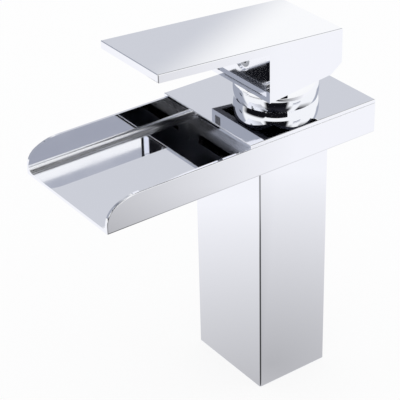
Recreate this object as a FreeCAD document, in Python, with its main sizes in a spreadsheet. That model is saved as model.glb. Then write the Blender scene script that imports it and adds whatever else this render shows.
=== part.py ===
"""Single-lever waterfall basin mixer, as a parametric FreeCAD document (millimetres, +Z up).

The origin is the centre of the column's foot, on the basin's deck. The spout and the lever point to -Y.
Hot comes up on the left (-X) and cold on the right (+X), as seen by someone who stands at the basin.
"""
import FreeCAD, Part
import math
import os
import Sketcher

doc = FreeCAD.newDocument("waterfall_mixer")
sheet = doc.addObject("Spreadsheet::Sheet", "dims")


class Size:
    """A length that knows its number and the sheet expression that it comes from."""

    def __init__(self, value, text):
        self.value = float(value)
        self.text = text

    def __add__(self, other):
        other = as_size(other)
        return Size(self.value + other.value, f"({self.text} + {other.text})")

    def __sub__(self, other):
        other = as_size(other)
        return Size(self.value - other.value, f"({self.text} - {other.text})")

    def __mul__(self, other):
        other = as_size(other)
        return Size(self.value * other.value, f"({self.text} * {other.text})")

    def __truediv__(self, other):
        other = as_size(other)
        return Size(self.value / other.value, f"({self.text} / {other.text})")

    def __neg__(self):
        return Size(-self.value, f"(-{self.text})")

    def root(self):
        return Size(math.sqrt(self.value), f"sqrt({self.text})")


def as_size(length):
    return length if isinstance(length, Size) else Size(length, repr(float(length)))


sheet_rows = []


def dim(alias, value):
    """Put one driving dimension in the sheet and hand back its Size."""
    sheet_rows.append(alias)
    row = len(sheet_rows)
    sheet.set(f"A{row}", alias)
    sheet.set(f"B{row}", str(value))
    sheet.setAlias(f"B{row}", alias)
    return Size(value, f"dims.{alias}")


# Column, foot and risers
column_width = dim("column_width", 50)
column_depth = dim("column_depth", 40)
column_height = dim("column_height", 125)
column_wall = dim("column_wall", 2.5)
column_edge = dim("column_edge", 0.8)
foot_height = dim("foot_height", 12)
gasket_inset = dim("gasket_inset", 2)
gasket_width = dim("gasket_width", 2.5)
gasket_depth = dim("gasket_depth", 2)
inlet_radius = dim("inlet_radius", 3.5)
inlet_depth = dim("inlet_depth", 8)
stud_radius = dim("stud_radius", 3.4)
stud_depth = dim("stud_depth", 10)
stud_front = dim("stud_front", 8)
riser_radius = dim("riser_radius", 4)
riser_bore = dim("riser_bore", 3)
riser_side = dim("riser_side", 7)
riser_ahead = dim("riser_ahead", 4)
riser_seal = dim("riser_seal", 1.5)
cap_height = dim("cap_height", 12)

# Spout tray, deck plate and weir
tray_width = dim("tray_width", 66)
tray_reach = dim("tray_reach", 106)
tray_back = dim("tray_back", 41)
tray_height = dim("tray_height", 15)
sheet_thickness = dim("sheet_thickness", 1.6)
floor_thickness = dim("floor_thickness", 1.8)
lip_height = dim("lip_height", 4)
nose_radius = dim("nose_radius", 9)
crown_radius = dim("crown_radius", 26)
bend_radius = dim("bend_radius", 3)
tray_edge = dim("tray_edge", 0.8)
rim_edge = dim("rim_edge", 0.4)
deck_front = dim("deck_front", 31)
deck_thickness = dim("deck_thickness", 2)
deck_edge = dim("deck_edge", 0.4)
weir_front = dim("weir_front", 19)
weir_thickness = dim("weir_thickness", 2)
outlet_width = dim("outlet_width", 46)
outlet_height = dim("outlet_height", 5)
outlet_sill = dim("outlet_sill", 6.5)

# Valve body and its screws
axis_offset = dim("axis_offset", 9)
flange_half_width = dim("flange_half_width", 23)
flange_ahead = dim("flange_ahead", 21.5)
flange_behind = dim("flange_behind", 18)
flange_thickness = dim("flange_thickness", 3.2)
valve_gasket_thickness = dim("valve_gasket_thickness", 1)
neck_radius = dim("neck_radius", 16.5)
neck_height = dim("neck_height", 17)
socket_height = dim("socket_height", 1.7)
drain_half_width = dim("drain_half_width", 4)
drain_height = dim("drain_height", 1.8)
drain_start = dim("drain_start", 2)
screw_side = dim("screw_side", 19.5)
screw_ahead = dim("screw_ahead", 17)
screw_behind = dim("screw_behind", 5.5)
screw_radius = dim("screw_radius", 2)
screw_length = dim("screw_length", 14)
screw_head_radius = dim("screw_head_radius", 3.5)
screw_head_height = dim("screw_head_height", 4)
screw_key = dim("screw_key", 3)
screw_key_depth = dim("screw_key_depth", 2)
clearance = dim("clearance", 0.2)

# Ceramic cartridge
cartridge_radius = dim("cartridge_radius", 12.5)
cartridge_base_height = dim("cartridge_base_height", 2.5)
shoulder_height = dim("shoulder_height", 13.3)
collar_radius = dim("collar_radius", 10.3)
collar_height = dim("collar_height", 7.2)
cavity_radius = dim("cavity_radius", 11.2)
port_side = dim("port_side", 4.2)
port_ahead = dim("port_ahead", 2.8)
port_radius = dim("port_radius", 1.9)
outlet_behind = dim("outlet_behind", 3.5)
outlet_radius = dim("outlet_radius", 2.4)
seal_width = dim("seal_width", 1)
peg_side = dim("peg_side", 9)
peg_behind = dim("peg_behind", 4)
peg_radius = dim("peg_radius", 1.2)
peg_length = dim("peg_length", 1.4)
fixed_disc_radius = dim("fixed_disc_radius", 10.8)
fixed_disc_height = dim("fixed_disc_height", 2.95)
disc_gap = dim("disc_gap", 0.05)
moving_disc_radius = dim("moving_disc_radius", 7.9)
moving_disc_height = dim("moving_disc_height", 2)
mixing_depth = dim("mixing_depth", 1.2)
mixing_half_width = dim("mixing_half_width", 5)
mixing_near = dim("mixing_near", 0.3)
mixing_far = dim("mixing_far", 5.4)
carrier_height = dim("carrier_height", 2.9)
carrier_socket = dim("carrier_socket", 2.3)
rotor_radius = dim("rotor_radius", 8.2)
rotor_flange_radius = dim("rotor_flange_radius", 11)
rotor_flange_height = dim("rotor_flange_height", 1.1)
rotor_height = dim("rotor_height", 11)
rotor_gap = dim("rotor_gap", 0.1)
slot_ahead = dim("slot_ahead", 5.4)
slot_behind = dim("slot_behind", 6)
pin_radius = dim("pin_radius", 1.5)
pin_length = dim("pin_length", 15.6)
pin_clearance = dim("pin_clearance", 0.05)
pivot_rise = dim("pivot_rise", 5.5)
stem_width = dim("stem_width", 6)
stem_below = dim("stem_below", 3.5)
stem_above = dim("stem_above", 22.5)
stem_rod_radius = dim("stem_rod_radius", 1.6)
stem_ball_radius = dim("stem_ball_radius", 2)
stem_ball_drop = dim("stem_ball_drop", 6.7)
nut_thread_radius = dim("nut_thread_radius", 14)
nut_bore = dim("nut_bore", 10.5)
nut_flats = dim("nut_flats", 27)
nut_head_height = dim("nut_head_height", 3.5)

# Dome
dome_radius = dim("dome_radius", 20.2)
dome_rise = dim("dome_rise", 3)
dome_wall = dim("dome_wall", 1.4)
dome_mouth = dim("dome_mouth", 15)
dome_collar_height = dim("dome_collar_height", 4.5)
dome_seal_inner = dim("dome_seal_inner", 17.3)
dome_seal_outer = dim("dome_seal_outer", 18.7)
dome_seal_height = dim("dome_seal_height", 1)

# Lever
lever_width = dim("lever_width", 44)
lever_front = dim("lever_front", 70.5)
lever_back = dim("lever_back", 30)
lever_thickness = dim("lever_thickness", 4)
lever_underside = dim("lever_underside", 174.8)
lever_slope = dim("lever_slope", 0.073)
lever_edge = dim("lever_edge", 0.5)
bracket_front = dim("bracket_front", 11.8)
bracket_bottom = dim("bracket_bottom", 152)
bracket_rear_bottom = dim("bracket_rear_bottom", 155.6)
chamfer_start = dim("chamfer_start", 23.4)
chamfer_top = dim("chamfer_top", 160.2)
bracket_side_wall = dim("bracket_side_wall", 2.5)
bracket_front_wall = dim("bracket_front_wall", 2)
bracket_ceiling = dim("bracket_ceiling", 171)
recess_depth = dim("recess_depth", 1.5)
recess_lip = dim("recess_lip", 2.3)
recess_corner = dim("recess_corner", 4)
boss_half = dim("boss_half", 6.5)
boss_bottom = dim("boss_bottom", 157.5)
web_half_width = dim("web_half_width", 6)
web_bottom = dim("web_bottom", 160)
stem_clearance = dim("stem_clearance", 0.05)
dome_clearance = dim("dome_clearance", 0.5)
grub_height = dim("grub_height", 165.3)
grub_radius = dim("grub_radius", 4)
grub_sink = dim("grub_sink", 1)
grub_counterbore = dim("grub_counterbore", 5.3)
grub_edge = dim("grub_edge", 0.3)
grub_key = dim("grub_key", 4)
grub_key_depth = dim("grub_key_depth", 3)
doc.recompute()

# Heights and places worked out from the driving dimensions
zero = as_size(0)
inner_half_width = column_width / 2 - column_wall
inner_half_depth = column_depth / 2 - column_wall
floor_top = column_height + floor_thickness
rim_top = column_height + tray_height
deck_top = rim_top + deck_thickness
tray_inner_half = tray_width / 2 - sheet_thickness
flange_bottom = floor_top + valve_gasket_thickness
seat = flange_bottom + flange_thickness
riser_top = flange_bottom + socket_height
shoulder = seat + shoulder_height
neck_top = seat + neck_height
fixed_disc_bottom = seat + cartridge_base_height
moving_disc_bottom = fixed_disc_bottom + fixed_disc_height + disc_gap
carrier_bottom = moving_disc_bottom + moving_disc_height
rotor_bottom = carrier_bottom + carrier_height + rotor_gap
dome_centre = deck_top + dome_rise
pivot = deck_top + pivot_rise
riser_y = axis_offset - riser_ahead
screw_places = [(side, along) for side in (-screw_side, screw_side) for along in (-screw_ahead, screw_behind)]
port_circles = [(-port_side, -port_ahead, port_radius), (port_side, -port_ahead, port_radius),
                (zero, outlet_behind, outlet_radius)]


def bind(thing, prop, length):
    thing.setExpression(prop, as_size(length).text)


def new_body(label, on_axis=False):
    """An empty body. Pieces of the valve are drawn round the cartridge's axis and placed on it."""
    body = doc.addObject("PartDesign::Body", label)
    body.Label = label
    if on_axis:
        bind(body, "Placement.Base.y", axis_offset)
    return body


def new_sketch(body, name, plane, offset=None):
    """A sketch on one of the body's own planes: XY draws x,y; XZ draws x,z and faces -Y; YZ draws y,z."""
    sketch = body.newObject("Sketcher::SketchObject", f"{body.Label}_{name}")
    support = [feature for feature in body.Origin.OriginFeatures if feature.Role == f"{plane}_Plane"]
    sketch.AttachmentSupport = [(support[0], "")]
    sketch.MapMode = "FlatFace"
    if offset is not None:
        bind(sketch, "AttachmentOffset.Base.z", offset)
    return sketch


def fix_point(sketch, geometry, point, place):
    """Hold one point of a sketch at a place given by two Sizes."""
    for kind, length, axis in (("DistanceX", place[0], -2), ("DistanceY", place[1], -1)):
        length = as_size(length)
        if length.value == 0:
            sketch.addConstraint(Sketcher.Constraint("PointOnObject", geometry, point, axis))
            continue
        index = sketch.addConstraint(Sketcher.Constraint(kind, -1, 1, geometry, point, length.value))
        bind(sketch, f"Constraints[{index}]", length)


def draw_outline(sketch, corners, arcs=None):
    """A closed outline through the corners. arcs gives a leg's radius and which side its centre is on."""
    arcs = arcs or {}
    points = [FreeCAD.Vector(as_size(a).value, as_size(b).value, 0) for a, b in corners]
    ends = []
    for leg, start in enumerate(points):
        finish = points[(leg + 1) % len(points)]
        if leg not in arcs:
            ends.append((sketch.addGeometry(Part.LineSegment(start, finish)), 1, 2))
            continue
        radius, side = arcs[leg]
        half = (finish - start) * 0.5
        across = FreeCAD.Vector(-half.y, half.x, 0).normalize()
        rise = math.sqrt(radius.value ** 2 - half.Length ** 2)
        centre = start + half + across * (rise * side)
        first, last = (start, finish) if side > 0 else (finish, start)
        angles = [math.atan2(p.y - centre.y, p.x - centre.x) for p in (first, last)]
        circle = Part.Circle(centre, FreeCAD.Vector(0, 0, 1), radius.value)
        geometry = sketch.addGeometry(Part.ArcOfCircle(circle, angles[0], angles[1]))
        index = sketch.addConstraint(Sketcher.Constraint("Radius", geometry, radius.value))
        bind(sketch, f"Constraints[{index}]", radius)
        ends.append((geometry, 1, 2) if side > 0 else (geometry, 2, 1))
    for leg, (geometry, head, tail) in enumerate(ends):
        after, after_head, _ = ends[(leg + 1) % len(ends)]
        sketch.addConstraint(Sketcher.Constraint("Coincident", geometry, tail, after, after_head))
        fix_point(sketch, geometry, head, corners[leg])


def draw_rectangle(sketch, left, right, low, high):
    draw_outline(sketch, [(left, low), (right, low), (right, high), (left, high)])


def draw_circle(sketch, across, along, radius):
    centre = FreeCAD.Vector(as_size(across).value, as_size(along).value, 0)
    circle = Part.Circle(centre, FreeCAD.Vector(0, 0, 1), radius.value)
    geometry = sketch.addGeometry(circle)
    index = sketch.addConstraint(Sketcher.Constraint("Radius", geometry, radius.value))
    bind(sketch, f"Constraints[{index}]", radius)
    fix_point(sketch, geometry, 3, (across, along))


def pad(body, sketch, length, symmetric=False, downward=False):
    """Add the sketch's area along its normal, to both sides, or against it."""
    feature = body.newObject("PartDesign::Pad", f"{sketch.Name}_pad")
    feature.Profile = sketch
    bind(feature, "Length", length)
    feature.SideType = "Symmetric" if symmetric else "One side"
    feature.Reversed = downward
    doc.recompute()
    return feature


def pocket(body, sketch, length, symmetric=False, upward=False):
    """Cut the sketch's area against its normal, to both sides, or along it, and check that it cut."""
    before = body.Shape.Volume
    feature = body.newObject("PartDesign::Pocket", f"{sketch.Name}_pocket")
    feature.Profile = sketch
    bind(feature, "Length", length)
    feature.SideType = "Symmetric" if symmetric else "One side"
    feature.Reversed = upward
    doc.recompute()
    if body.Shape.Volume > before - 0.01:
        raise RuntimeError(f"{feature.Name} cuts nothing")
    return feature


def revolve(body, sketch):
    """Turn a radius and height outline once round the body's own vertical axis."""
    feature = body.newObject("PartDesign::Revolution", f"{sketch.Name}_turned")
    feature.Profile = sketch
    feature.ReferenceAxis = (sketch, ["V_Axis"])
    feature.Angle = 360
    doc.recompute()
    return feature


def round_edges(body, base, radius, wanted):
    """Round the edges of the base feature that the wanted test picks."""
    names = [f"Edge{n}" for n, edge in enumerate(base.Shape.Edges, 1) if wanted(edge)]
    feature = body.newObject("PartDesign::Fillet", f"{base.Name}_rounded")
    feature.Base = (base, names)
    bind(feature, "Radius", radius)
    doc.recompute()
    return feature


def is_upright(edge):
    box = edge.BoundBox
    return box.ZLength > 1 and box.XLength < 0.001 and box.YLength < 0.001


def drill(body, name, circles, height, depth, upward=False):
    """Round holes of one depth from one level."""
    sketch = new_sketch(body, name, "XY", height)
    for across, along, radius in circles:
        draw_circle(sketch, across, along, radius)
    return pocket(body, sketch, depth, upward=upward)


# Column: a rectangular brass tube, its long edges broken
column = new_body("column_shell")
column_plan = new_sketch(column, "plan", "XY")
draw_rectangle(column_plan, -column_width / 2, column_width / 2, -column_depth / 2, column_depth / 2)
column_block = pad(column, column_plan, column_height)
round_edges(column, column_block, column_edge, is_upright)
column_hollow = new_sketch(column, "hollow", "XY", column_height)
draw_rectangle(column_hollow, -inner_half_width, inner_half_width, -inner_half_depth, inner_half_depth)
pocket(column, column_hollow, column_height)

# Foot: brass block in the column's lower end, with the hose inlets, the stud hole and the gasket's groove
riser_places = [(-riser_side, riser_y), (riser_side, riser_y)]
foot = new_body("base_plate")
foot_plan = new_sketch(foot, "plan", "XY")
draw_rectangle(foot_plan, -inner_half_width, inner_half_width, -inner_half_depth, inner_half_depth)
pad(foot, foot_plan, foot_height)


def draw_gasket(sketch):
    outer_x = inner_half_width - gasket_inset
    outer_y = inner_half_depth - gasket_inset
    inner_x = outer_x - gasket_width
    inner_y = outer_y - gasket_width
    draw_rectangle(sketch, -outer_x, outer_x, -outer_y, outer_y)
    draw_rectangle(sketch, -inner_x, inner_x, -inner_y, inner_y)


foot_groove = new_sketch(foot, "groove", "XY")
draw_gasket(foot_groove)
pocket(foot, foot_groove, gasket_depth, upward=True)
drill(foot, "inlets", [(x, y, inlet_radius) for x, y in riser_places], zero, foot_height, upward=True)
riser_sockets = [(x, y, riser_radius) for x, y in riser_places]
drill(foot, "sockets", riser_sockets, foot_height, foot_height - inlet_depth)
seal_seats = [(x, y, riser_radius + riser_seal) for x, y in riser_places]
drill(foot, "seal_seats", seal_seats, foot_height, riser_seal)
drill(foot, "stud", [(zero, -stud_front, stud_radius)], zero, stud_depth, upward=True)

gasket = new_body("base_gasket")
gasket_plan = new_sketch(gasket, "plan", "XY")
draw_gasket(gasket_plan)
pad(gasket, gasket_plan, gasket_depth)

# Risers: two straight tubes from the inlets to the valve, each with a seal pressed into the foot's top
for name, (across, along) in zip(("hot_riser", "cold_riser"), riser_places):
    riser = new_body(name)
    riser_plan = new_sketch(riser, "plan", "XY", inlet_depth)
    draw_circle(riser_plan, across, along, riser_radius)
    draw_circle(riser_plan, across, along, riser_bore)
    pad(riser, riser_plan, riser_top - inlet_depth)

riser_seals = new_body("riser_seals")
riser_seals_plan = new_sketch(riser_seals, "plan", "XY", foot_height - riser_seal)
for across, along in riser_places:
    draw_circle(riser_seals_plan, across, along, riser_radius)
    draw_circle(riser_seals_plan, across, along, riser_radius + riser_seal)
pad(riser_seals, riser_seals_plan, riser_seal)

# Cap: brass block brazed into the column's top, which takes the screws and guides the risers
cap = new_body("column_cap")
cap_plan = new_sketch(cap, "plan", "XY", column_height - cap_height)
draw_rectangle(cap_plan, -inner_half_width, inner_half_width, -inner_half_depth, inner_half_depth)
for across, along in riser_places:
    draw_circle(cap_plan, across, along, riser_radius)
for across, along in screw_places:
    draw_circle(cap_plan, across, axis_offset + along, screw_radius)
pad(cap, cap_plan, cap_height)

# Spout tray: one sheet with upright sides whose front ends sweep down to the lip
nose_centre = (-tray_reach + nose_radius, column_height + lip_height)
crown_centre_height = rim_top - crown_radius
centre_gap = crown_radius - nose_radius
centre_rise = nose_centre[1] - crown_centre_height
crown_run = (centre_gap * centre_gap - centre_rise * centre_rise).root()
crown_centre = nose_centre[0] + crown_run
blend_along = nose_centre[0] - crown_run * nose_radius / centre_gap
blend_height = nose_centre[1] + centre_rise * nose_radius / centre_gap
tray = new_body("spout_tray")
tray_side = new_sketch(tray, "side", "YZ")
draw_outline(tray_side, [
    (-tray_reach, column_height),
    (tray_back, column_height),
    (tray_back, rim_top),
    (crown_centre, rim_top),
    (blend_along, blend_height),
    (-tray_reach, nose_centre[1]),
], arcs={3: (crown_radius, 1), 4: (nose_radius, 1)})
tray_block = pad(tray, tray_side, tray_width, symmetric=True)


def is_tray_foot(edge):
    box = edge.BoundBox
    return box.YLength > tray_reach.value and abs(box.ZMax - column_height.value) < 0.001


def is_tray_rim(edge):
    """The outer edges of the sides' tops, straight at the rear and swept down at the front."""
    box = edge.BoundBox
    return box.XLength < 0.001 and box.ZMin > nose_centre[1].value - 0.001


def draw_channel(sketch, height):
    """The channel's cross-section: a floor and two sides joined by round bends, up to a height."""
    floor_half = tray_inner_half - bend_radius
    bend_top = floor_top + bend_radius
    draw_outline(sketch, [
        (-floor_half, floor_top),
        (floor_half, floor_top),
        (tray_inner_half, bend_top),
        (tray_inner_half, height),
        (-tray_inner_half, height),
        (-tray_inner_half, bend_top),
    ], arcs={1: (bend_radius, 1), 5: (bend_radius, 1)})


tray_footed = round_edges(tray, tray_block, tray_edge, is_tray_foot)
round_edges(tray, tray_footed, rim_edge, is_tray_rim)
tray_inside = new_sketch(tray, "inside", "XZ", sheet_thickness - tray_back)
draw_channel(tray_inside, rim_top + clearance)
pocket(tray, tray_inside, tray_reach + tray_back, upward=True)
screw_holes = [(x, axis_offset + y, screw_radius + clearance) for x, y in screw_places]
drill(tray, "floor_holes", riser_sockets + screw_holes, floor_top, floor_thickness)

# Weir: the upright back of the channel, under the deck, with the wide slot that the water leaves by
weir = new_body("weir_wall")
weir_face = new_sketch(weir, "face", "XZ", weir_front - weir_thickness)
draw_channel(weir_face, rim_top)
slot_low = floor_top + outlet_sill
slot_high = slot_low + outlet_height
draw_rectangle(weir_face, -outlet_width / 2, outlet_width / 2, slot_low, slot_high)
pad(weir, weir_face, weir_thickness)

# Deck plate: closes the tray's rear and carries the dome
deck = new_body("deck_plate")
deck_plan = new_sketch(deck, "plan", "XY", rim_top)
draw_rectangle(deck_plan, -tray_width / 2, tray_width / 2, -deck_front, tray_back)
draw_circle(deck_plan, zero, axis_offset, neck_radius + dome_clearance)
deck_block = pad(deck, deck_plan, deck_thickness)


def is_deck_rim(edge):
    """The straight edges of the top, and of the underside, where they leave a fine seam on the tray."""
    box = edge.BoundBox
    return min(box.XLength, box.YLength) < 0.001 and box.ZLength < 0.001


round_edges(deck, deck_block, deck_edge, is_deck_rim)

# Valve body: a flange on the tray's floor and a cup that holds the cartridge, with a drain to the rear
axis_risers = [(-riser_side, -riser_ahead), (riser_side, -riser_ahead)]
valve_gasket = new_body("valve_gasket", on_axis=True)
valve_gasket_plan = new_sketch(valve_gasket, "plan", "XY", floor_top)
draw_rectangle(valve_gasket_plan, -flange_half_width, flange_half_width, -flange_ahead, flange_behind)
for across, along in axis_risers:
    draw_circle(valve_gasket_plan, across, along, riser_radius)
for across, along in screw_places:
    draw_circle(valve_gasket_plan, across, along, screw_radius + clearance)
pad(valve_gasket, valve_gasket_plan, valve_gasket_thickness)

valve = new_body("valve_body", on_axis=True)
valve_flange = new_sketch(valve, "flange", "XY", flange_bottom)
draw_rectangle(valve_flange, -flange_half_width, flange_half_width, -flange_ahead, flange_behind)
for across, along in screw_places:
    draw_circle(valve_flange, across, along, screw_radius + clearance)
pad(valve, valve_flange, flange_thickness)
valve_cup = new_sketch(valve, "cup", "XZ")
cup_radius = cartridge_radius + clearance / 2
draw_outline(valve_cup, [(cup_radius, seat), (neck_radius, seat), (neck_radius, neck_top),
                         (nut_thread_radius, neck_top), (nut_thread_radius, shoulder),
                         (cup_radius, shoulder)])
revolve(valve, valve_cup)
drill(valve, "sockets", [(x, y, riser_radius) for x, y in axis_risers], flange_bottom, socket_height,
      upward=True)
drill(valve, "ports", port_circles, seat, flange_thickness - socket_height)
drill(valve, "peg_holes", [(x, peg_behind, peg_radius + clearance / 2) for x in (-peg_side, peg_side)],
      seat, peg_length + clearance)
valve_drain = new_sketch(valve, "drain", "XY", flange_bottom)
draw_rectangle(valve_drain, -drain_half_width, drain_half_width, drain_start, flange_behind + clearance)
pocket(valve, valve_drain, drain_height, upward=True)

# Tray screws: four socket heads through the flange and the floor into the cap
screws = []
for number, (across, along) in enumerate(screw_places, 1):
    head = doc.addObject("Part::Cylinder", f"screw_head_{number}")
    bind(head, "Radius", screw_head_radius)
    bind(head, "Height", screw_head_height)
    bind(head, "Placement.Base.z", screw_length)
    shank = doc.addObject("Part::Cylinder", f"screw_shank_{number}")
    bind(shank, "Radius", screw_radius)
    bind(shank, "Height", screw_length)
    blank = doc.addObject("Part::Fuse", f"screw_blank_{number}")
    blank.Base = head
    blank.Tool = shank
    key = doc.addObject("Part::Prism", f"screw_key_{number}")
    key.Polygon = 6
    bind(key, "Circumradius", screw_key / as_size(3).root())
    bind(key, "Height", screw_key_depth)
    bind(key, "Placement.Base.z", screw_length + screw_head_height - screw_key_depth)
    screw = doc.addObject("Part::Cut", f"screw_{number}")
    screw.Base = blank
    screw.Tool = key
    bind(screw, "Placement.Base.x", across)
    bind(screw, "Placement.Base.y", axis_offset + along)
    bind(screw, "Placement.Base.z", seat - screw_length)
    screws.append(screw)
tray_screws = doc.addObject("Part::Compound", "tray_screws")
tray_screws.Links = screws

# Cartridge base: plastic disc with the three ports, their seals below and two locating pegs
base = new_body("cartridge_base", on_axis=True)
base_plan = new_sketch(base, "plan", "XY", seat)
draw_circle(base_plan, zero, zero, cartridge_radius)
for across, along, radius in port_circles:
    draw_circle(base_plan, across, along, radius)
pad(base, base_plan, cartridge_base_height)
base_pegs = new_sketch(base, "pegs", "XY", seat)
for across in (-peg_side, peg_side):
    draw_circle(base_pegs, across, peg_behind, peg_radius)
pad(base, base_pegs, peg_length, downward=True)
drill(base, "seal_seats", [(x, y, r + seal_width) for x, y, r in port_circles], seat, seal_width, upward=True)

port_seals = new_body("port_seals", on_axis=True)
port_seals_plan = new_sketch(port_seals, "plan", "XY", seat)
for across, along, radius in port_circles:
    draw_circle(port_seals_plan, across, along, radius)
    draw_circle(port_seals_plan, across, along, radius + seal_width)
pad(port_seals, port_seals_plan, seal_width)

# Ceramic discs: the fixed one has the ports, the moving one a mixing chamber that bridges them when it slides
fixed_disc = new_body("fixed_disc", on_axis=True)
fixed_disc_plan = new_sketch(fixed_disc, "plan", "XY", fixed_disc_bottom)
draw_circle(fixed_disc_plan, zero, zero, fixed_disc_radius)
for across, along, radius in port_circles:
    draw_circle(fixed_disc_plan, across, along, radius)
pad(fixed_disc, fixed_disc_plan, fixed_disc_height)

moving_disc = new_body("moving_disc", on_axis=True)
moving_disc_plan = new_sketch(moving_disc, "plan", "XY", moving_disc_bottom)
draw_circle(moving_disc_plan, zero, zero, moving_disc_radius)
pad(moving_disc, moving_disc_plan, moving_disc_height)
mixing_chamber = new_sketch(moving_disc, "chamber", "XY", moving_disc_bottom)
draw_rectangle(mixing_chamber, -mixing_half_width, mixing_half_width, mixing_near, mixing_far)
pocket(moving_disc, mixing_chamber, mixing_depth, upward=True)

disc_carrier = new_body("disc_carrier", on_axis=True)
disc_carrier_plan = new_sketch(disc_carrier, "plan", "XY", carrier_bottom)
draw_circle(disc_carrier_plan, zero, zero, moving_disc_radius)
draw_circle(disc_carrier_plan, zero, zero, carrier_socket)
pad(disc_carrier, disc_carrier_plan, carrier_height)

# Cartridge housing: the shell that the nut presses down
housing = new_body("cartridge_housing", on_axis=True)
housing_section = new_sketch(housing, "section", "XZ")
rotor_bore = rotor_radius + rotor_gap
cavity_top = rotor_bottom + rotor_flange_height + rotor_gap
housing_top = shoulder + collar_height
draw_outline(housing_section, [
    (cavity_radius, fixed_disc_bottom), (cartridge_radius, fixed_disc_bottom), (cartridge_radius, shoulder),
    (collar_radius, shoulder), (collar_radius, housing_top), (rotor_bore, housing_top),
    (rotor_bore, cavity_top), (cavity_radius, cavity_top)])
revolve(housing, housing_section)

# Stem carrier: turns in the housing, holds the stem on its pin and leaves it a slot to tilt in
rotor = new_body("stem_carrier", on_axis=True)
rotor_section = new_sketch(rotor, "section", "XZ")
rotor_top = rotor_bottom + rotor_height
rotor_step = rotor_bottom + rotor_flange_height
draw_outline(rotor_section, [
    (zero, rotor_bottom), (rotor_flange_radius, rotor_bottom), (rotor_flange_radius, rotor_step),
    (rotor_radius, rotor_step), (rotor_radius, rotor_top), (zero, rotor_top)])
revolve(rotor, rotor_section)
rotor_slot = new_sketch(rotor, "slot", "XY", rotor_top)
slot_half_width = stem_width / 2 + rotor_gap
draw_rectangle(rotor_slot, -slot_half_width, slot_half_width, -slot_ahead, slot_behind)
pocket(rotor, rotor_slot, rotor_height)
rotor_pin_hole = new_sketch(rotor, "pin_hole", "YZ")
draw_circle(rotor_pin_hole, zero, pivot, pin_radius)
pocket(rotor, rotor_pin_hole, rotor_radius * 2 + clearance, symmetric=True)

pin = new_body("stem_pin", on_axis=True)
pin_end = new_sketch(pin, "end", "YZ")
draw_circle(pin_end, zero, pivot, pin_radius)
pad(pin, pin_end, pin_length, symmetric=True)

# Stem: square bar on the pin, with a ball at its foot that drives the disc carrier
stem = new_body("stem", on_axis=True)
stem_bar = new_sketch(stem, "bar", "XY", pivot - stem_below)
draw_rectangle(stem_bar, -stem_width / 2, stem_width / 2, -stem_width / 2, stem_width / 2)
pad(stem, stem_bar, stem_below + stem_above)
stem_rod = new_sketch(stem, "rod", "XY", pivot - stem_below)
draw_circle(stem_rod, zero, zero, stem_rod_radius)
pad(stem, stem_rod, stem_ball_drop - stem_below, downward=True)
stem_ball = stem.newObject("PartDesign::AdditiveSphere", "stem_ball")
bind(stem_ball, "Radius", stem_ball_radius)
stem_ball.AttachmentSupport = [(stem_bar.AttachmentSupport[0][0], "")]
stem_ball.MapMode = "FlatFace"
bind(stem_ball, "AttachmentOffset.Base.z", pivot - stem_ball_drop)
doc.recompute()
stem_hole = new_sketch(stem, "pin_hole", "YZ")
draw_circle(stem_hole, zero, pivot, pin_radius + pin_clearance)
pocket(stem, stem_hole, stem_width + clearance, symmetric=True)

# Cartridge nut: threaded ring with a hexagon head
nut = new_body("cartridge_nut", on_axis=True)
nut_section = new_sketch(nut, "section", "XZ")
draw_outline(nut_section, [(nut_bore, shoulder), (nut_thread_radius, shoulder), (nut_thread_radius, neck_top),
                           (nut_bore, neck_top)])
revolve(nut, nut_section)
nut_head = new_sketch(nut, "head", "XY", neck_top)
nut_corner = nut_flats / as_size(3).root()
nut_corners = [(nut_corner, zero), (nut_corner / 2, nut_flats / 2), (-nut_corner / 2, nut_flats / 2),
               (-nut_corner, zero), (-nut_corner / 2, -nut_flats / 2), (nut_corner / 2, -nut_flats / 2)]
draw_outline(nut_head, nut_corners)
draw_circle(nut_head, zero, zero, nut_bore)
pad(nut, nut_head, nut_head_height)

# Dome: turned cap over the nut, bored to a cone, screwed to the valve's neck, with a flat seal under its foot
dome = new_body("dome_bonnet", on_axis=True)
dome_section = new_sketch(dome, "section", "XZ")
dome_inner = dome_radius - dome_wall
collar_top = deck_top + dome_collar_height
collar_rise = collar_top - dome_centre


def dome_half(radius, rise):
    return (radius * radius - rise * rise).root()


draw_outline(dome_section, [
    (neck_radius, deck_top),
    (dome_half(dome_radius, dome_rise), deck_top),
    (dome_mouth, dome_centre + dome_half(dome_radius, dome_mouth)),
    (dome_mouth, dome_centre + dome_half(dome_inner, dome_mouth)),
    (dome_half(dome_inner, collar_rise), collar_top),
    (neck_radius, collar_top),
], arcs={1: (dome_radius, 1)})
revolve(dome, dome_section)
dome_groove = new_sketch(dome, "seal_groove", "XY", deck_top)
draw_circle(dome_groove, zero, zero, dome_seal_outer)
draw_circle(dome_groove, zero, zero, dome_seal_inner)
pocket(dome, dome_groove, dome_seal_height, upward=True)

dome_seal = new_body("dome_seal", on_axis=True)
dome_seal_plan = new_sketch(dome_seal, "plan", "XY", deck_top)
draw_circle(dome_seal_plan, zero, zero, dome_seal_outer)
draw_circle(dome_seal_plan, zero, zero, dome_seal_inner)
pad(dome_seal, dome_seal_plan, dome_seal_height)


# Lever: flat blade and hollow bracket in one casting, open below so that it tilts round the dome
def blade_under(along):
    return lever_underside - lever_slope * along


lever = new_body("lever_handle")
lever_side = new_sketch(lever, "side", "YZ")
draw_outline(lever_side, [
    (-lever_front, blade_under(-lever_front)),
    (-bracket_front, blade_under(-bracket_front)),
    (-bracket_front, bracket_bottom),
    (chamfer_start, bracket_rear_bottom),
    (lever_back, chamfer_top),
    (lever_back, blade_under(lever_back) + lever_thickness),
    (-lever_front, blade_under(-lever_front) + lever_thickness),
])
lever_block = pad(lever, lever_side, lever_width, symmetric=True)


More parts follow.
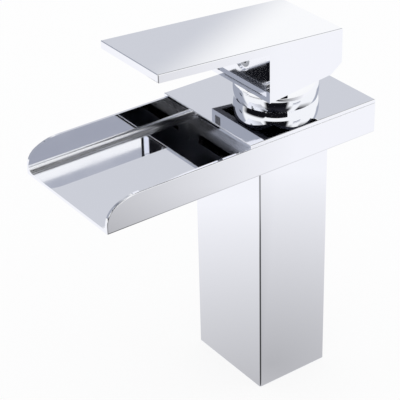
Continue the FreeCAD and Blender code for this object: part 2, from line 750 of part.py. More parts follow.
def is_lever_rim(edge):
    """The edges round the top face, round the blade's front end, and the upright back corners."""
    middle = edge.CenterOfMass
    top = blade_under(Size(middle.y, "0")).value + lever_thickness.value
    on_top = abs(middle.z - top) < 0.01
    on_front = abs(middle.y + lever_front.value) < 0.01
    upright_back = abs(middle.y - lever_back.value) < 0.01 and edge.BoundBox.ZLength > lever_thickness.value
    return on_top or on_front or upright_back


round_edges(lever, lever_block, lever_edge, is_lever_rim)
cavity_half_width = lever_width / 2 - bracket_side_wall
cavity_front = -bracket_front + recess_depth + bracket_front_wall
cavity = new_sketch(lever, "cavity", "XY", bracket_bottom - clearance)
draw_rectangle(cavity, -cavity_half_width, cavity_half_width, cavity_front, lever_back - bracket_side_wall)
pocket(lever, cavity, bracket_ceiling - bracket_bottom + clearance, upward=True)
boss = new_sketch(lever, "boss", "XY", boss_bottom)
draw_rectangle(boss, -boss_half, boss_half, axis_offset - boss_half, axis_offset + boss_half)
pad(lever, boss, bracket_ceiling - boss_bottom)
web = new_sketch(lever, "web", "XY", web_bottom)
draw_rectangle(web, -web_half_width, web_half_width, cavity_front, axis_offset - boss_half)
pad(lever, web, bracket_ceiling - web_bottom)
stem_socket = new_sketch(lever, "stem_socket", "XY", boss_bottom)
socket_half = stem_width / 2 + stem_clearance
draw_rectangle(stem_socket, -socket_half, socket_half, axis_offset - socket_half, axis_offset + socket_half)
pocket(lever, stem_socket, pivot + stem_above + stem_clearance - boss_bottom, upward=True)

# The bracket's front is a shallow recess in a frame, with round upper corners, that holds the grub screw
recess = new_sketch(lever, "recess", "XZ", bracket_front)
recess_low = bracket_bottom + recess_lip
recess_high = blade_under(-bracket_front)
draw_outline(recess, [
    (-cavity_half_width, recess_low),
    (cavity_half_width, recess_low),
    (cavity_half_width, recess_high - recess_corner),
    (cavity_half_width - recess_corner, recess_high),
    (recess_corner - cavity_half_width, recess_high),
    (-cavity_half_width, recess_high - recess_corner),
], arcs={2: (recess_corner, 1), 4: (recess_corner, 1)})
pocket(lever, recess, recess_depth)
grub_face = bracket_front - recess_depth
grub_seat = new_sketch(lever, "grub_seat", "XZ", grub_face)
draw_circle(grub_seat, zero, grub_height, grub_counterbore)
grub_sunk = pocket(lever, grub_seat, grub_sink)


def is_grub_mouth(edge):
    box = edge.BoundBox
    on_face = abs(box.YMin + grub_face.value) < 0.001 and box.YLength < 0.001
    return on_face and abs(box.XLength - 2 * grub_counterbore.value) < 0.001


round_edges(lever, grub_sunk, grub_edge, is_grub_mouth)
grub_hole = new_sketch(lever, "grub_hole", "XZ", grub_face - grub_sink)
draw_circle(grub_hole, zero, grub_height, grub_radius)
grub_length = grub_face - grub_sink + axis_offset - stem_width / 2
pocket(lever, grub_hole, grub_length)
dome_room = lever.newObject("PartDesign::SubtractiveSphere", "dome_room")
bind(dome_room, "Radius", dome_radius + dome_clearance)
dome_room.AttachmentSupport = [(cavity.AttachmentSupport[0][0], "")]
dome_room.MapMode = "FlatFace"
bind(dome_room, "AttachmentOffset.Base.y", axis_offset)
bind(dome_room, "AttachmentOffset.Base.z", dome_centre)
doc.recompute()

# Grub screw: clamps the stem, keyed at its outer end
grub = new_body("grub_screw")
grub_end = new_sketch(grub, "end", "XZ", grub_face - grub_sink)
draw_circle(grub_end, zero, grub_height, grub_radius)
pad(grub, grub_end, grub_length, downward=True)
grub_socket = new_sketch(grub, "key", "XZ", grub_face - grub_sink)
key_corner = grub_key / as_size(3).root()
draw_outline(grub_socket, [
    (key_corner, grub_height), (key_corner / 2, grub_height + grub_key / 2),
    (-key_corner / 2, grub_height + grub_key / 2), (-key_corner, grub_height),
    (-key_corner / 2, grub_height - grub_key / 2), (key_corner / 2, grub_height - grub_key / 2)])
pocket(grub, grub_socket, grub_key_depth)

doc.recompute()
pieces = [thing for thing in doc.Objects if thing.TypeId == "PartDesign::Body"] + [tray_screws]
for thing in doc.Objects:
    if "Invalid" in thing.State or "Error" in thing.State:
        raise RuntimeError(f"{thing.Label} failed: {thing.State}")
for piece in pieces:
    if piece.Shape.isNull() or not piece.Shape.isValid() or not piece.Shape.Solids:
        raise RuntimeError(f"{piece.Label} has no valid solid")

os.makedirs("parts", exist_ok=True)
for piece in pieces:
    piece.Shape.exportStep(f"parts/{piece.Label}.step")
    box = piece.Shape.BoundBox
    print(f"{piece.Label:18s} {len(piece.Shape.Solids)} solid(s) {piece.Shape.Volume:9.1f} mm3"
          f"  y {box.YMin:7.2f} {box.YMax:7.2f}  z {box.ZMin:7.2f} {box.ZMax:7.2f}")
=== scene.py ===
"""Looks of a single-lever waterfall basin mixer in polished chrome, in metres, in the frame of its solids.

The file follows the mixer as it is put together: column, spout, weir and deck, then the brass, seals, screws
and cartridge inside, then dome and lever. The studio and the camera come last.
"""
import bpy
import math
from mathutils import Matrix, Vector


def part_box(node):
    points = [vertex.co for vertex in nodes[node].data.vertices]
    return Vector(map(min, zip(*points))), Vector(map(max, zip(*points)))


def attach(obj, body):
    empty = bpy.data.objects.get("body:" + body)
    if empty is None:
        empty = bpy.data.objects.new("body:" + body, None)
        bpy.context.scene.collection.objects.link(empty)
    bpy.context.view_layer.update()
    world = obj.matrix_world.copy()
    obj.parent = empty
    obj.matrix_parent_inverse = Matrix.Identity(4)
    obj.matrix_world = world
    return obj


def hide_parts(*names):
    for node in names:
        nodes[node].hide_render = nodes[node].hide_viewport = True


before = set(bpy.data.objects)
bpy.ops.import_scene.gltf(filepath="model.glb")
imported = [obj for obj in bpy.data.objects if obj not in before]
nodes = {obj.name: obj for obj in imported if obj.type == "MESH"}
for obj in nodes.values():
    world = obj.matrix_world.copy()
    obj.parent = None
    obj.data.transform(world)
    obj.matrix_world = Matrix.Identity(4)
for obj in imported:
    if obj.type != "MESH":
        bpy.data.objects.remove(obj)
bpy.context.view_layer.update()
MM = 0.001


# Column: a rectangular brass tube that stands on the basin, ground flat, polished and plated with
# bright nickel and chrome. Its long edges are broken by the polishing wheel.
def linear(hex_colour):
    """An sRGB hex colour as the linear values that the shaders take."""
    parts = [int(hex_colour[i:i + 2], 16) / 255 for i in (1, 3, 5)]
    return [c / 12.92 if c <= 0.04045 else ((c + 0.055) / 1.055) ** 2.4 for c in parts] + [1.0]


def add_node(tree, kind, inputs=None, **settings):
    """One shader node with its settings, its constant inputs and its links."""
    made = tree.nodes.new(kind)
    for name, value in settings.items():
        setattr(made, name, value)
    for name, value in (inputs or {}).items():
        if isinstance(value, bpy.types.NodeSocket):
            tree.links.new(value, made.inputs[name])
        else:
            made.inputs[name].default_value = value
    return made


def new_material(name):
    """An empty material with its Principled shader, and the piece's own coordinates in metres."""
    material = bpy.data.materials.new(name)
    material.use_nodes = True
    tree = material.node_tree
    tree.nodes.clear()
    shader = add_node(tree, "ShaderNodeBsdfPrincipled")
    add_node(tree, "ShaderNodeOutputMaterial", {"Surface": shader.outputs["BSDF"]})
    place = add_node(tree, "ShaderNodeTexCoord").outputs["Object"]
    return material, tree, shader, place


def dress(material, *names):
    """Give CAD nodes one material."""
    for name in names:
        nodes[name].data.materials.clear()
        nodes[name].data.materials.append(material)


CHROME = "#F8F9FC"
CHROME_POLISH = (0.02, 0.05)
HAZE_SIZE = 22 * MM
HAZE_SPREAD = (0.35, 0.7)


def chrome_gloss(tree, place):
    """Roughness of mirror plating, which drifts a little where the wheel has been."""
    haze = add_node(tree, "ShaderNodeTexNoise", {"Vector": place, "Scale": 1 / HAZE_SIZE, "Detail": 3.0})
    gloss = add_node(tree, "ShaderNodeMapRange", {"Value": haze.outputs["Fac"], "From Min": HAZE_SPREAD[0],
                                                  "From Max": HAZE_SPREAD[1], "To Min": CHROME_POLISH[0],
                                                  "To Max": CHROME_POLISH[1]})
    return gloss.outputs["Result"]


def plate(tree, shader, gloss):
    """Chrome plating all over, with the roughness that is linked in."""
    shader.inputs["Base Color"].default_value = linear(CHROME)
    shader.inputs["Metallic"].default_value = 1.0
    tree.links.new(gloss, shader.inputs["Roughness"])


polished_chrome, tree, shader, place = new_material("polished chrome plate")
plate(tree, shader, chrome_gloss(tree, place))
dress(polished_chrome, "column_shell")

# Spout: sheet brass folded up at both sides to a tray, polished and plated as the column is. The wheel
# doesn't get into the inner bends, which stay hazy.
BEND_ROUGHNESS = 0.24
BEND_ACROSS = (28.2 * MM, 31.5 * MM)
BEND_HEIGHT = (126.7 * MM, 129.9 * MM)
BEND_ALONG = (-1.0, 1.0)


def box_mask(tree, place, across, along, height):
    """1 inside a box of the piece's own coordinates, given by its three ranges, and 0 outside it."""
    split = add_node(tree, "ShaderNodeSeparateXYZ", {"Vector": place})
    mask = 1.0
    for axis, (lowest, highest) in zip("XYZ", (across, along, height)):
        within = add_node(tree, "ShaderNodeMath", {0: split.outputs[axis], 1: (lowest + highest) / 2,
                                                   2: (highest - lowest) / 2}, operation="COMPARE")
        both = add_node(tree, "ShaderNodeMath", {0: within.outputs[0], 1: mask}, operation="MULTIPLY")
        mask = both.outputs[0]
    return mask


spout_chrome, tree, shader, place = new_material("chrome plate with hazy bends")
gloss = chrome_gloss(tree, place)
for across in [(-BEND_ACROSS[1], -BEND_ACROSS[0]), BEND_ACROSS]:
    bend = box_mask(tree, place, across, BEND_ALONG, BEND_HEIGHT)
    hazy = add_node(tree, "ShaderNodeMix", {"Factor": bend, "A": gloss, "B": BEND_ROUGHNESS})
    gloss = hazy.outputs["Result"]
plate(tree, shader, gloss)
dress(spout_chrome, "spout_tray")

# Weir: a strip of brass across the spout, under the deck's edge, soldered in. It is plated but not buffed,
# so it shows the spout's floor as a soft grey band.
BRUSHING_SIZE = 2 * MM
SATIN_POLISH = (0.12, 0.22)
satin_chrome, tree, shader, place = new_material("satin chrome plate")
brushing = add_node(tree, "ShaderNodeTexNoise", {"Vector": place, "Scale": 1 / BRUSHING_SIZE, "Detail": 3.0})
gloss = add_node(tree, "ShaderNodeMapRange", {"Value": brushing.outputs["Fac"], "To Min": SATIN_POLISH[0],
                                              "To Max": SATIN_POLISH[1]})
plate(tree, shader, gloss.outputs["Result"])
dress(satin_chrome, "weir_wall")

# Deck: a brass plate over the rear of the spout, polished and plated on top. Its underside closes the
# water's chamber. Every face that looks down gets a dark colour, painted shade, and a dull roughness.
# Painted shade: the dark colour of faces in the deck's chamber and in and under the lever's bracket.
PAINTED_SHADE_COLOUR = "#343642"
DULL_ROUGHNESS = 0.5
DOWNWARD = -0.9


def facing_down(tree):
    """1 where the piece's surface looks down, 0 elsewhere."""
    normal = add_node(tree, "ShaderNodeTexCoord").outputs["Normal"]
    upness = add_node(tree, "ShaderNodeSeparateXYZ", {"Vector": normal}).outputs["Z"]
    return add_node(tree, "ShaderNodeMath", {0: upness, 1: DOWNWARD}, operation="LESS_THAN").outputs[0]


def plate_with_painted_shade(tree, shader, painted_shade_mask, gloss):
    """Chrome plating with the roughness linked in, and painted shade, dark and dull, where the mask is 1."""
    # Painted shade: the dark colour stands in for the shade where the mask is 1.
    tint = add_node(tree, "ShaderNodeMix", {"Factor": painted_shade_mask, "A": linear(CHROME), "B": linear(PAINTED_SHADE_COLOUR)},
                    data_type="RGBA")
    gloss = add_node(tree, "ShaderNodeMix", {"Factor": painted_shade_mask, "A": gloss, "B": DULL_ROUGHNESS})
    plate(tree, shader, gloss.outputs["Result"])
    tree.links.new(tint.outputs["Result"], shader.inputs["Base Color"])


deck_chrome, tree, shader, place = new_material("chrome plate with painted shade underneath")
# Painted shade on every face of the deck that looks down.
plate_with_painted_shade(tree, shader, facing_down(tree), chrome_gloss(tree, place))
dress(deck_chrome, "deck_plate")

# Foot, cap, risers, valve body and nut: brass turned, milled or drawn, left bare because nobody sees it. The
# cutter's marks run round in lines, coarser here than real ones so that they show. The cap and the valve body
# are a darker brown brass, and duller.
WAVE_SPACING = math.tau / 20
TARNISH_SIZE = 8 * MM
MARK_DEPTH = 0.05 * MM
MARK_STRENGTH = 0.15
GLOSS_SWING = 0.06


def machined(name, colours, rough, mark_pitch):
    """Bare metal off the machine: cutter lines in gloss and bump, and a slow drift of tarnish."""
    material, tree, shader, place = new_material(name)
    marks = add_node(tree, "ShaderNodeTexWave", {"Vector": place, "Scale": WAVE_SPACING / mark_pitch,
                                                 "Distortion": 1.0}, wave_type="RINGS", rings_direction="Z")
    tarnish = add_node(tree, "ShaderNodeTexNoise", {"Vector": place, "Scale": 1 / TARNISH_SIZE,
                                                    "Detail": 4.0})
    tint = add_node(tree, "ShaderNodeMix", {"Factor": tarnish.outputs["Fac"], "A": linear(colours[0]),
                                            "B": linear(colours[1])}, data_type="RGBA")
    gloss = add_node(tree, "ShaderNodeMapRange", {"Value": marks.outputs["Fac"],
                                                  "To Min": rough - GLOSS_SWING,
                                                  "To Max": rough + GLOSS_SWING})
    relief = add_node(tree, "ShaderNodeBump", {"Height": marks.outputs["Fac"], "Strength": MARK_STRENGTH,
                                               "Distance": MARK_DEPTH})
    tree.links.new(tint.outputs["Result"], shader.inputs["Base Color"])
    tree.links.new(gloss.outputs["Result"], shader.inputs["Roughness"])
    tree.links.new(relief.outputs["Normal"], shader.inputs["Normal"])
    shader.inputs["Metallic"].default_value = 1.0
    return material


turned_brass = machined("turned brass", ("#C79A4B", "#A67C3A"), rough=0.28, mark_pitch=2.513 * MM)
dress(turned_brass, "base_plate", "cartridge_nut")
# A darker, duller brown brass for the cap and the valve body.
dark_brass = machined("dark dull brass", ("#4B3D29", "#2F271C"), rough=0.42, mark_pitch=2.513 * MM)
dress(dark_brass, "column_cap", "valve_body")
drawn_brass = machined("drawn brass tube", ("#BE9148", "#9C7434"), rough=0.34, mark_pitch=5.027 * MM)
dress(drawn_brass, "hot_riser", "cold_riser")

# Gaskets and seals: black nitrile rubber, moulded, pressed in under the foot, round the risers, under the
# valve body, under the cartridge and in the dome's groove. A faint bloom greys the surface.
RUBBER_COLOURS = ("#1A1A1B", "#2E2E30")
RUBBER_ROUGHNESS = 0.62
BLOOM_SIZE = 3 * MM
rubber, tree, shader, place = new_material("black nitrile rubber")
bloom = add_node(tree, "ShaderNodeTexNoise", {"Vector": place, "Scale": 1 / BLOOM_SIZE, "Detail": 5.0})
tint = add_node(tree, "ShaderNodeMix", {"Factor": bloom.outputs["Fac"], "A": linear(RUBBER_COLOURS[0]),
                                        "B": linear(RUBBER_COLOURS[1])}, data_type="RGBA")
tree.links.new(tint.outputs["Result"], shader.inputs["Base Color"])
shader.inputs["Roughness"].default_value = RUBBER_ROUGHNESS
dress(rubber, "base_gasket", "riser_seals", "valve_gasket", "port_seals", "dome_seal")

# Screws, stem and pin: stainless steel bar, drawn and machined. Four screws hold the valve body and the spout
# down on the column's cap, the stem tilts on its pin, and a grub screw holds the lever on the stem.
stainless = machined("machined stainless steel", ("#B9BBBE", "#A3A6AA"), rough=0.25, mark_pitch=1.885 * MM)
dress(stainless, "tray_screws", "stem", "stem_pin", "grub_screw")

# Cartridge: a shell and two carriers, moulded in acetal, round two lapped discs of alumina ceramic. The tool
# leaves a fine satin on the mouldings, coarser here than the real one so that it shows.
SATIN_SIZE = 0.5 * MM
SATIN_DEPTH = 0.02 * MM
SATIN_STRENGTH = 0.1
SATIN_SWING = 0.05


def moulded(name, colour, rough):
    """A hard moulding: plain colour with a fine satin texture from the tool."""
    material, tree, shader, place = new_material(name)
    grain = add_node(tree, "ShaderNodeTexNoise", {"Vector": place, "Scale": 1 / SATIN_SIZE, "Detail": 2.0})
    relief = add_node(tree, "ShaderNodeBump", {"Height": grain.outputs["Fac"], "Strength": SATIN_STRENGTH,
                                               "Distance": SATIN_DEPTH})
    gloss = add_node(tree, "ShaderNodeMapRange", {"Value": grain.outputs["Fac"],
                                                  "To Min": rough - SATIN_SWING,
                                                  "To Max": rough + SATIN_SWING})
    shader.inputs["Base Color"].default_value = linear(colour)
    tree.links.new(gloss.outputs["Result"], shader.inputs["Roughness"])
    tree.links.new(relief.outputs["Normal"], shader.inputs["Normal"])
    return material


dress(moulded("white acetal", "#E8E8E4", 0.32), "cartridge_base", "cartridge_housing")
dress(moulded("grey acetal", "#5A5E63", 0.38), "disc_carrier", "stem_carrier")
dress(moulded("lapped alumina ceramic", "#EFEDE6", 0.15), "fixed_disc", "moving_disc")

# Dome: a brass cup turned to a full round belly that draws in at its foot, polished and plated as the column
# is. It is screwed down on the valve body's neck, stands on the deck and holds its seal in a groove.
DOME_AXIS = 9 * MM
DOME_FOOT = 142 * MM
DOME_BELLY = (20.15 * MM, 146.8 * MM)
DOME_BULGE = 14.5 * MM
DOME_WALL = 1.4 * MM
DOME_MOUTH = 15 * MM
DOME_COLLAR = (16.5 * MM, 146.5 * MM)
DOME_GROOVE = (17.3 * MM, 18.7 * MM)
DOME_GROOVE_TOP = 143 * MM
BULGE_STEPS = 40
DOME_SIDES = 144
SHARPEST_ROUND = math.radians(30)


def bulge(radius, low, high):
    """Points of the belly's round from one height to another, as distances from the axis and heights."""
    heights = [low + (high - low) * i / BULGE_STEPS for i in range(BULGE_STEPS + 1)]
    middle = DOME_BELLY[0] - DOME_BULGE
    return [(middle + math.sqrt(radius ** 2 - (z - DOME_BELLY[1]) ** 2), z) for z in heights]


def mouth_height(radius):
    """The height at which the belly's round has drawn in to the mouth."""
    return DOME_BELLY[1] + math.sqrt(radius ** 2 - (DOME_MOUTH - DOME_BELLY[0] + DOME_BULGE) ** 2)


inner_bulge = DOME_BULGE - DOME_WALL
section = [(DOME_COLLAR[0], DOME_FOOT), (DOME_GROOVE[0], DOME_FOOT), (DOME_GROOVE[0], DOME_GROOVE_TOP),
           (DOME_GROOVE[1], DOME_GROOVE_TOP), (DOME_GROOVE[1], DOME_FOOT)]
section += bulge(DOME_BULGE, DOME_FOOT, mouth_height(DOME_BULGE))
section += bulge(inner_bulge, mouth_height(inner_bulge), DOME_COLLAR[1])
section += [DOME_COLLAR]
turns = [math.tau * i / DOME_SIDES for i in range(DOME_SIDES)]
corners = [(r * math.cos(a), DOME_AXIS + r * math.sin(a), z) for a in turns for r, z in section]
count = len(section)
faces = []
for side in range(DOME_SIDES):
    here = side * count
    there = (side + 1) % DOME_SIDES * count
    for i in range(count):
        j = (i + 1) % count
        faces.append((here + i, there + i, there + j, here + j))
dome_mesh = bpy.data.meshes.new("dome")
dome_mesh.from_pydata(corners, [], faces)
dome_mesh.shade_smooth()
dome_mesh.set_sharp_from_angle(angle=SHARPEST_ROUND)
dome_mesh.materials.append(polished_chrome)
dome = bpy.data.objects.new("dome", dome_mesh)
bpy.context.scene.collection.objects.link(dome)
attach(dome, "fixed_body")
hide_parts("dome_bonnet")

# Lever: blade and hollow bracket in one zinc casting, polished and plated outside. The wheel hardly gets into
# the recess of the bracket's front. The hollow and the faces that look down under the bracket are given a
# dark colour as painted shade, with a dull roughness.
RECESS_ROUGHNESS = 0.07
RECESS_ACROSS = (-19.48 * MM, 19.48 * MM)
RECESS_ALONG = (-10.4 * MM, -10.2 * MM)
RECESS_HEIGHT = (154.32 * MM, 175.5 * MM)
HOLLOW_ACROSS = (-19.55 * MM, 19.55 * MM)
HOLLOW_ALONG = (-8.4 * MM, 27.55 * MM)
HOLLOW_TOP = 171.05 * MM
UNDERSIDE_ACROSS = (-23 * MM, 23 * MM)
UNDERSIDE_ALONG = (-12.5 * MM, 31 * MM)
UNDERSIDE_RISE = 6 * MM
lever_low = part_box("lever_handle")[0].z
below_lever = lever_low - 1 * MM
lever_chrome, tree, shader, place = new_material("chrome plate with painted shade in the hollow")
# Painted shade in the hollow and on the bracket's faces that look down.
hollow = box_mask(tree, place, HOLLOW_ACROSS, HOLLOW_ALONG, (below_lever, HOLLOW_TOP))
bottom = box_mask(tree, place, UNDERSIDE_ACROSS, UNDERSIDE_ALONG, (below_lever, lever_low + UNDERSIDE_RISE))
underside = add_node(tree, "ShaderNodeMath", {0: bottom, 1: facing_down(tree)}, operation="MULTIPLY")
painted_shade_mask = add_node(tree, "ShaderNodeMath", {0: hollow, 1: underside.outputs[0]}, operation="MAXIMUM")
recess = box_mask(tree, place, RECESS_ACROSS, RECESS_ALONG, RECESS_HEIGHT)
gloss = add_node(tree, "ShaderNodeMix", {"Factor": recess, "A": chrome_gloss(tree, place),
                                         "B": RECESS_ROUGHNESS})
plate_with_painted_shade(tree, shader, painted_shade_mask.outputs[0], gloss.outputs["Result"])
dress(lever_chrome, "lever_handle")

# Floor: a plain pale sweep under the mixer, painted matt white. It shows white to the camera and in the
# chrome, and it keeps the mixer's shadow.
FLOOR_HALF = 2.5
FLOOR_PAINT = "#F7F7F8"
FLOOR_WHITE_SHARE = 0.85
WHITE = "#FFFFFF"
floor_corners = [(-FLOOR_HALF, -FLOOR_HALF, 0), (FLOOR_HALF, -FLOOR_HALF, 0), (FLOOR_HALF, FLOOR_HALF, 0),
                 (-FLOOR_HALF, FLOOR_HALF, 0)]
floor_mesh = bpy.data.meshes.new("studio_floor")
floor_mesh.from_pydata(floor_corners, [], [(0, 1, 2, 3)])
floor = bpy.data.objects.new("studio_floor", floor_mesh)
bpy.context.scene.collection.objects.link(floor)


def bare_tree(owner):
    """The empty node tree of a material or a world."""
    owner.use_nodes = True
    owner.node_tree.nodes.clear()
    return owner.node_tree


floor_paint = bpy.data.materials.new("matt white floor")
tree = bare_tree(floor_paint)
rays = add_node(tree, "ShaderNodeLightPath")
seen = rays.outputs["Is Camera Ray"]
for kind in ("Is Glossy Ray", "Is Transmission Ray"):
    either = add_node(tree, "ShaderNodeMath", {0: seen, 1: rays.outputs[kind]}, operation="MAXIMUM")
    seen = either.outputs[0]
share = add_node(tree, "ShaderNodeMath", {0: seen, 1: FLOOR_WHITE_SHARE}, operation="MULTIPLY")
paint = add_node(tree, "ShaderNodeBsdfDiffuse", {"Color": linear(FLOOR_PAINT)})
white = add_node(tree, "ShaderNodeEmission", {"Color": linear(WHITE), "Strength": 1.0})
mixed = add_node(tree, "ShaderNodeMixShader", {0: share.outputs[0], 1: paint.outputs["BSDF"],
                                               2: white.outputs["Emission"]})
add_node(tree, "ShaderNodeOutputMaterial", {"Surface": mixed.outputs["Shader"]})
floor_mesh.materials.append(floor_paint)

# Shading card: a round card on the floor that only the metal sees. It is greyer towards a point beside the
# column's near corner and dark on the camera's side, so that the polished faces are graded and a dark line
# draws their edge. The studio is laid out round the way to the camera.
CAMERA_AZIMUTH = math.radians(54.85)
CARD_RADIUS = 800 * MM
CARD_HEIGHT = 0.4 * MM
CARD_PAPER = "#FAFAFE"
CARD_GREY = 0.5
CARD_GREY_ASIDE = 20 * MM
CARD_WHITE_REACH = 195 * MM
CARD_DARKEST = 0.05
CARD_DARK_SIDE = math.radians(30)
CARD_DARK_SIDE_FAR = math.radians(2)
CARD_NARROWING = (130 * MM, 165 * MM)
CARD_LIGHT_SIDE = math.radians(76)
CARD_SIDES = 96
toward_camera = Vector((math.sin(CAMERA_AZIMUTH), -math.cos(CAMERA_AZIMUTH), 0))
to_the_right = Vector((math.cos(CAMERA_AZIMUTH), math.sin(CAMERA_AZIMUTH), 0))


def bearing(tree, vector):
    """The angle round the mixer, in radians: 0 towards the camera, positive to its right."""
    ahead = add_node(tree, "ShaderNodeVectorMath", {0: vector, 1: toward_camera}, operation="DOT_PRODUCT")
    aside = add_node(tree, "ShaderNodeVectorMath", {0: vector, 1: to_the_right}, operation="DOT_PRODUCT")
    return add_node(tree, "ShaderNodeMath", {0: aside.outputs["Value"], 1: ahead.outputs["Value"]},
                    operation="ARCTAN2").outputs[0]


def studio_card(name, corners):
    """A flat card that only the metal shows. The camera doesn't see it, and the floor isn't lit by it."""
    mesh = bpy.data.meshes.new(name)
    mesh.from_pydata(corners, [], [tuple(range(len(corners)))])
    card = bpy.data.objects.new(name, mesh)
    bpy.context.scene.collection.objects.link(card)
    card.visible_camera = False
    card.visible_diffuse = False
    card.visible_shadow = False
    paper = bpy.data.materials.new(name)
    mesh.materials.append(paper)
    return bare_tree(paper)


angles = [math.tau * i / CARD_SIDES for i in range(CARD_SIDES)]
rim = [(CARD_RADIUS * math.cos(a), CARD_RADIUS * math.sin(a), CARD_HEIGHT) for a in angles]
tree = studio_card("shading_card", rim)
place = add_node(tree, "ShaderNodeTexCoord").outputs["Object"]
column_low, column_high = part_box("column_shell")
near_corner = Vector((column_high.x, column_low.y, CARD_HEIGHT))
greyest = near_corner + to_the_right * CARD_GREY_ASIDE
from_corner = add_node(tree, "ShaderNodeVectorMath", {0: place, 1: near_corner}, operation="SUBTRACT")
off_axis = add_node(tree, "ShaderNodeMath", {0: bearing(tree, from_corner.outputs["Vector"])},
                    operation="ABSOLUTE")
reach = add_node(tree, "ShaderNodeVectorMath", {0: place, 1: greyest}, operation="DISTANCE").outputs["Value"]
grade = add_node(tree, "ShaderNodeMapRange", {"Value": reach, "From Max": CARD_WHITE_REACH,
                                              "To Min": CARD_GREY})
dark_half = add_node(tree, "ShaderNodeMapRange", {"Value": reach, "From Min": CARD_NARROWING[0],
                                                  "From Max": CARD_NARROWING[1], "To Min": CARD_DARK_SIDE,
                                                  "To Max": CARD_DARK_SIDE_FAR})
side = add_node(tree, "ShaderNodeMapRange", {"Value": off_axis.outputs[0],
                                             "From Min": dark_half.outputs["Result"],
                                             "From Max": CARD_LIGHT_SIDE, "To Min": CARD_DARKEST})
level = add_node(tree, "ShaderNodeMath", {0: grade.outputs["Result"], 1: side.outputs["Result"]},
                 operation="MULTIPLY")
glow = add_node(tree, "ShaderNodeEmission", {"Color": linear(CARD_PAPER), "Strength": level.outputs[0]})
add_node(tree, "ShaderNodeOutputMaterial", {"Surface": glow.outputs["Emission"]})

# Flags: upright strips of card, in millimetres. The spout's far wall mirrors the two grey ones on the right,
# the lower one straight and the upper one by way of the spout's floor. The bracket's recess mirrors the dark
# strip beyond the spout, by way of the deck, and the dome's foot the wide one far off towards the camera.
DARK_CLOTH = "#121216"
FLAGS = [
    ("lower_flag", (300, 50), (300, 175), (311, 334.4), "#A6A9B5"),
    ("upper_flag", (300, 50), (300, 175), (349, 361), "#B2B5C0"),
    ("dark_flag", (-118, -90), (-84, -90), (184, 194.2), "#2A2B31"),
    ("low_flag", (471, -895), (1001, -141), (0.5, 300), DARK_CLOTH),
]
for name, start, end, (foot, head), colour in FLAGS:
    corners = [(*start, foot), (*end, foot), (*end, head), (*start, head)]
    tree = studio_card(name, [Vector(corner) * MM for corner in corners])
    glow = add_node(tree, "ShaderNodeEmission", {"Color": linear(colour), "Strength": 1.0})
    add_node(tree, "ShaderNodeOutputMaterial", {"Surface": glow.outputs["Emission"]})

# Tent: white cloth hung round, with grey gaps beside its rear, a dark gap and skirt on the camera's side, a
# dark ring over it, open at the rear and the sides, and a white ceiling. A grey panel at the rear tones the
# top faces, and a white slip before it lights the lever's back. Angles are in degrees.
LEFT_CLOTH = "#A4A8B4"
RIGHT_CLOTH = "#AEB2BE"
RING_CLOTH = "#26262C"
TENT_WALL = [(-180, WHITE), (-168, WHITE), (-160, LEFT_CLOTH), (-100, LEFT_CLOTH), (-92, WHITE),
             (-36, WHITE), (-28, DARK_CLOTH), (26, DARK_CLOTH), (34, WHITE), (128, WHITE),
             (134, RIGHT_CLOTH), (160, RIGHT_CLOTH), (168, WHITE), (180, WHITE)]
TENT_RING = [(-180, WHITE), (-150, WHITE), (-138, RING_CLOTH), (-116, RING_CLOTH), (-108, WHITE),
             (-60, WHITE), (-50, RING_CLOTH), (40, RING_CLOTH), (50, WHITE), (68, WHITE),
             (74, RING_CLOTH), (118, RING_CLOTH), (165, WHITE), (180, WHITE)]
TENT_SKIRT = [(-180, WHITE), (-98, WHITE), (-82, DARK_CLOTH), (34, DARK_CLOTH), (48, WHITE), (180, WHITE)]
SKIRT_HEAD = (17, 11)
RING_FOOT = (38, 52)
RING_HEAD = (68, 78)
PANEL_CLOTH = "#D1D3DA"
PANEL_MIDDLE = (179, 26)
PANEL_EDGE = (15, 8)
SLIP_MIDDLE = (176.68, 19.8)
SLIP_SOFT = 0.95
SLIP_TOP = (24, 22)
world = bpy.data.worlds.new("white tent")
bpy.context.scene.world = world
tree = bare_tree(world)
direction = add_node(tree, "ShaderNodeTexCoord").outputs["Generated"]
turn = add_node(tree, "ShaderNodeMapRange", {"Value": bearing(tree, direction), "From Min": -math.pi,
                                             "From Max": math.pi}).outputs["Result"]
height = add_node(tree, "ShaderNodeSeparateXYZ", {"Vector": direction}).outputs["Z"]


def cloth_round(colours):
    """Cloth hung round the mixer, its colour by bearing."""
    ramp = add_node(tree, "ShaderNodeValToRGB", {"Fac": turn})
    stops = ramp.color_ramp.elements
    while len(stops) < len(colours):
        stops.new(1.0)
    for stop, (angle, colour) in zip(stops, colours):
        stop.position = (angle + 180) / 360
        stop.color = linear(colour)
    return ramp.outputs["Color"]


def between(elevations):
    """0 at the first elevation and 1 at the second."""
    limits = [math.sin(math.radians(e)) for e in elevations]
    return add_node(tree, "ShaderNodeMapRange", {"Value": height, "From Min": limits[0],
                                                 "From Max": limits[1]}).outputs["Result"]


def sky_axes(angle, rise):
    """The direction at a bearing and an elevation, and the ways to more bearing and to more elevation."""
    angle, rise = math.radians(angle), math.radians(rise)
    level = toward_camera * math.cos(angle) + to_the_right * math.sin(angle)
    round_it = to_the_right * math.cos(angle) - toward_camera * math.sin(angle)
    upright = Vector((0, 0, 1))
    outward = level * math.cos(rise) + upright * math.sin(rise)
    return outward, round_it, upright * math.cos(rise) - level * math.sin(rise)


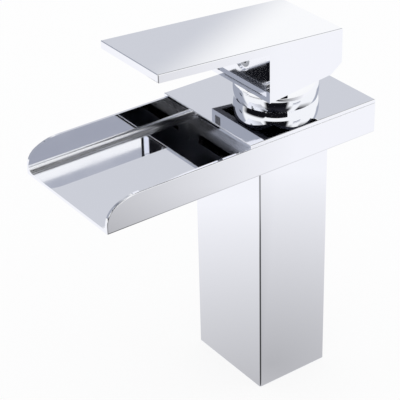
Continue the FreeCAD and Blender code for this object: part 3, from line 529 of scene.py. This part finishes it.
skirt = add_node(tree, "ShaderNodeMix", {"Factor": between(SKIRT_HEAD), "A": linear(WHITE),
                                         "B": cloth_round(TENT_SKIRT)}, data_type="RGBA")
cloth = add_node(tree, "ShaderNodeMix", {"Factor": 1.0, "A": cloth_round(TENT_WALL),
                                         "B": skirt.outputs["Result"]}, data_type="RGBA", blend_type="DARKEN")
panel_edge = [math.cos(math.radians(e)) for e in PANEL_EDGE]
nearness = add_node(tree, "ShaderNodeVectorMath", {0: direction, 1: sky_axes(*PANEL_MIDDLE)[0]},
                    operation="DOT_PRODUCT")
panel = add_node(tree, "ShaderNodeMapRange", {"Value": nearness.outputs["Value"], "From Min": panel_edge[0],
                                              "From Max": panel_edge[1]}, interpolation_type="SMOOTHSTEP")
_, round_it, rising = sky_axes(*SLIP_MIDDLE)
slip_edge = math.sin(math.radians(SLIP_SOFT))
past = add_node(tree, "ShaderNodeVectorMath", {0: direction, 1: (rising - round_it).normalized()},
                operation="DOT_PRODUCT")
slip = add_node(tree, "ShaderNodeMapRange", {"Value": past.outputs["Value"], "From Min": -slip_edge,
                                             "From Max": slip_edge}, interpolation_type="SMOOTHSTEP")
slip = add_node(tree, "ShaderNodeMath", {0: slip.outputs["Result"], 1: between(SLIP_TOP)},
                operation="MULTIPLY")
rays = add_node(tree, "ShaderNodeLightPath")
plain = add_node(tree, "ShaderNodeMath", {0: rays.outputs["Is Camera Ray"],
                                          1: rays.outputs["Is Diffuse Ray"]}, operation="MAXIMUM")
hung_before = [
    (between(RING_FOOT), cloth_round(TENT_RING)),
    (between(RING_HEAD), linear(WHITE)),
    (panel.outputs["Result"], linear(PANEL_CLOTH)),
    (slip.outputs[0], linear(WHITE)),
    (plain.outputs[0], linear(WHITE)),
]
for share, colour in hung_before:
    cloth = add_node(tree, "ShaderNodeMix", {"Factor": share, "A": cloth.outputs["Result"], "B": colour},
                     data_type="RGBA")
background = add_node(tree, "ShaderNodeBackground", {"Color": cloth.outputs["Result"], "Strength": 1.0})
add_node(tree, "ShaderNodeOutputWorld", {"Surface": background.outputs["Background"]})

# Camera: a long lens from the front right, above the lever, turned a little about its axis as the
# photograph's is.
CAMERA_ELEVATION = math.radians(30.7)
CAMERA_ROLL = math.radians(-1.54)
CAMERA_PLACE = Vector((483.9, -376.2, 452.3)) * MM
LENS = 134.0
SENSOR_WIDTH = 36
back = toward_camera * math.cos(CAMERA_ELEVATION)
back.z = math.sin(CAMERA_ELEVATION)
up = back.cross(to_the_right)
across = to_the_right * math.cos(CAMERA_ROLL) + up * math.sin(CAMERA_ROLL)
upward = up * math.cos(CAMERA_ROLL) - to_the_right * math.sin(CAMERA_ROLL)
camera_data = bpy.data.cameras.new("studio_camera")
camera_data.sensor_width = SENSOR_WIDTH
camera_data.lens = LENS
camera = bpy.data.objects.new("studio_camera", camera_data)
camera.matrix_world = Matrix((across, upward, back)).transposed().to_4x4()
camera.location = CAMERA_PLACE
bpy.context.scene.collection.objects.link(camera)
bpy.context.scene.camera = camera
bpy.context.scene.view_settings.view_transform = "Standard"
